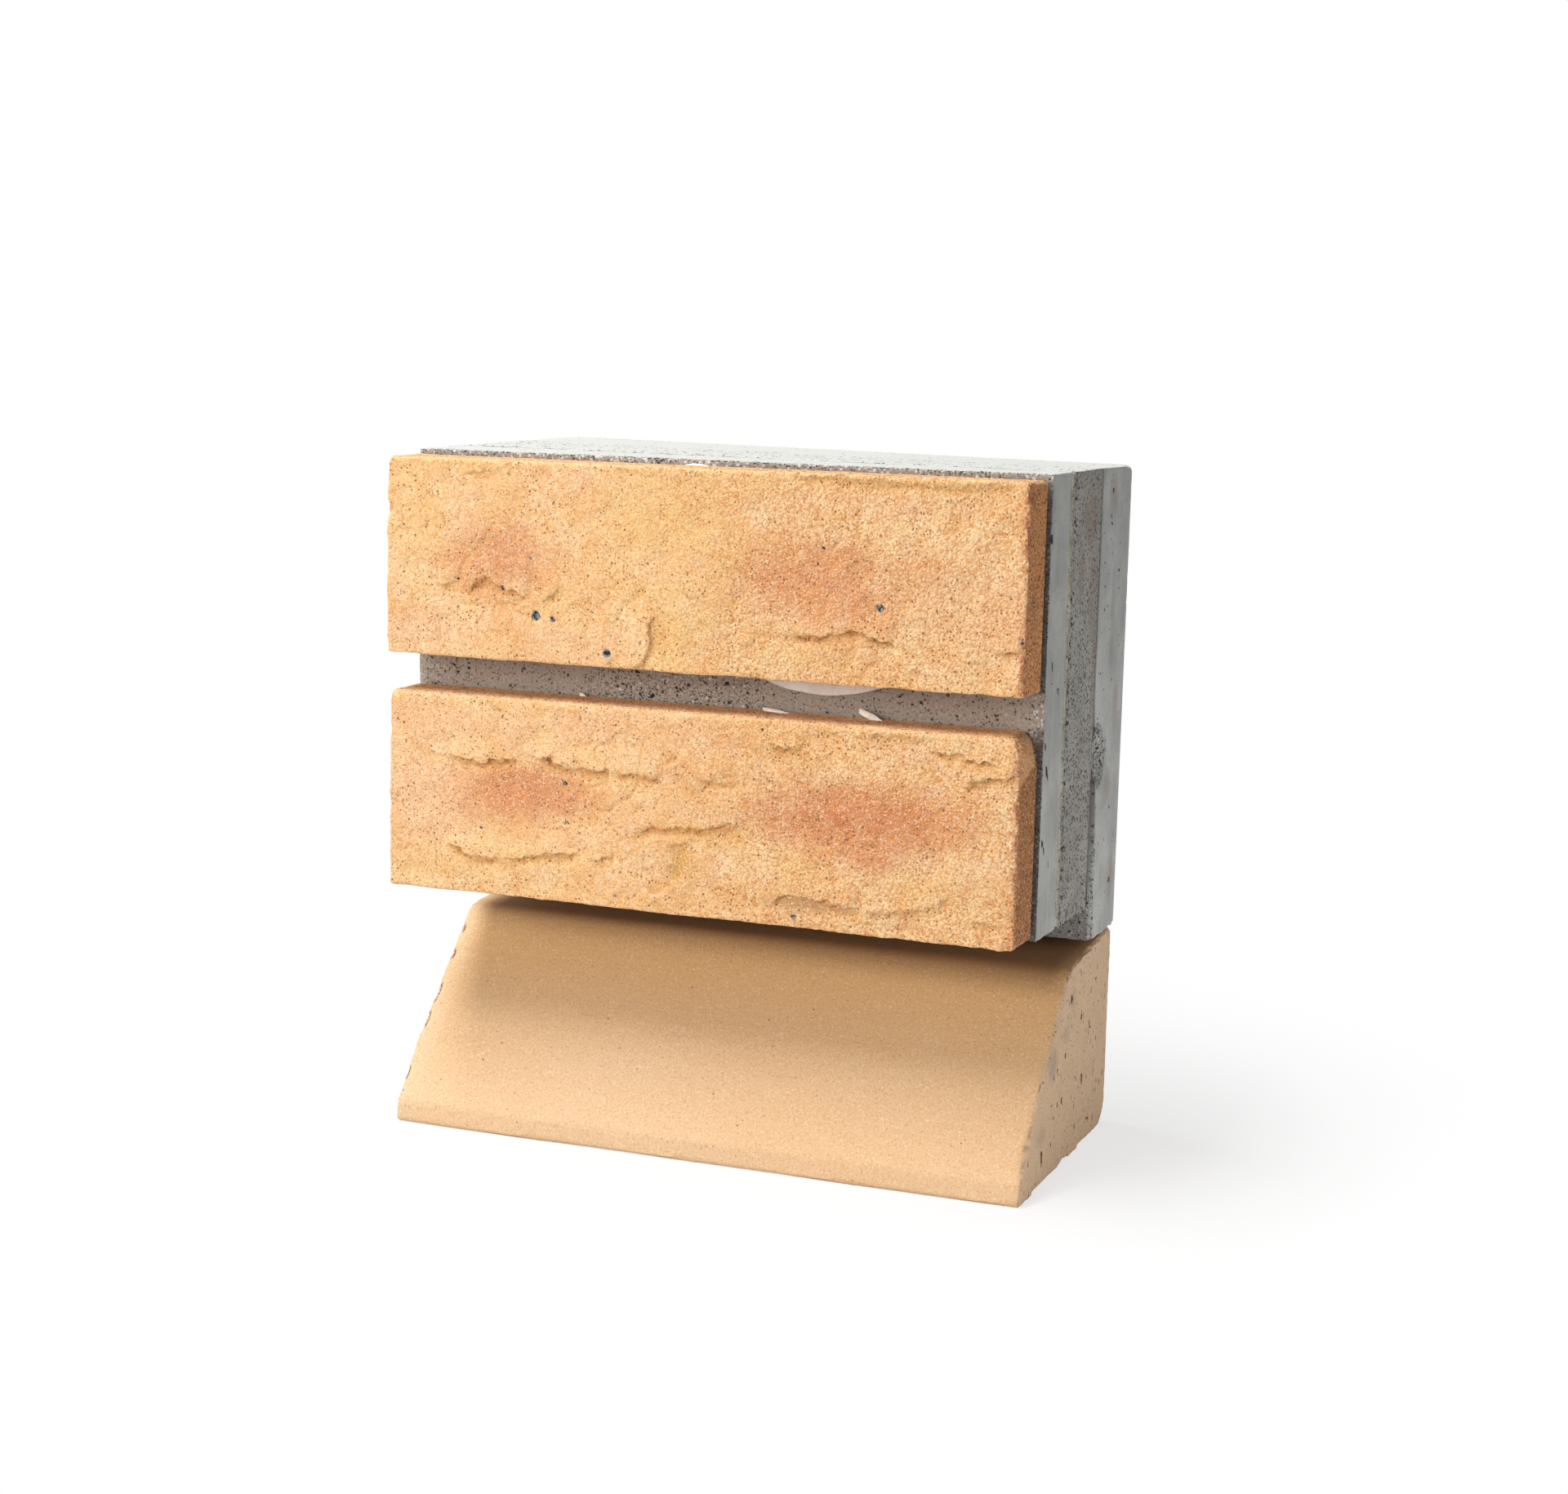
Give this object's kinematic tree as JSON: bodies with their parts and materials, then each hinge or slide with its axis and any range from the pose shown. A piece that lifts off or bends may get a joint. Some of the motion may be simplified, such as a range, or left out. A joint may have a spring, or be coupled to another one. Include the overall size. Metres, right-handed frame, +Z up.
{
  "type": "brick slip wall panel sample",
  "caption": "Wall panel sample of split-face brick slips glued to layered cement backing boards, standing on a sloped sill brick with a nose and a rising ledge.",
  "frame": {"origin": "centre of the whole object's box, on the floor under the sill brick", "axes": "+Z up, -Y the way the brick slips face, +X along the slips to the square end of the boards"},
  "size_m": [0.2442, 0.1194, 0.2497],
  "materials": {
    "slip_ceramic": "rough split face, yellow orange with reddish scorched patches",
    "sill_ceramic": "fine extruded clay, matt beige",
    "board_concrete": "matt grey cement board with air pits",
    "dark_concrete": "matt dark speckled grey",
    "bonding_mortar": "matt yellowish grey",
    "adhesive": "smooth whitish, slightly waxy"
  },
  "bodies": {
    "root": {"upper_brick_slip": "slip_ceramic", "lower_brick_slip": "slip_ceramic", "front_board": "board_concrete", "bonding_layer": "bonding_mortar", "middle_board": "dark_concrete", "rear_board": "board_concrete", "adhesive_dab_wide": "adhesive", "adhesive_dab_top": "adhesive", "adhesive_dab_left": "adhesive", "adhesive_dab_lower_left": "adhesive", "adhesive_dab_lower_right": "adhesive", "sill_brick": "sill_ceramic"}
  },
  "joints": []
}
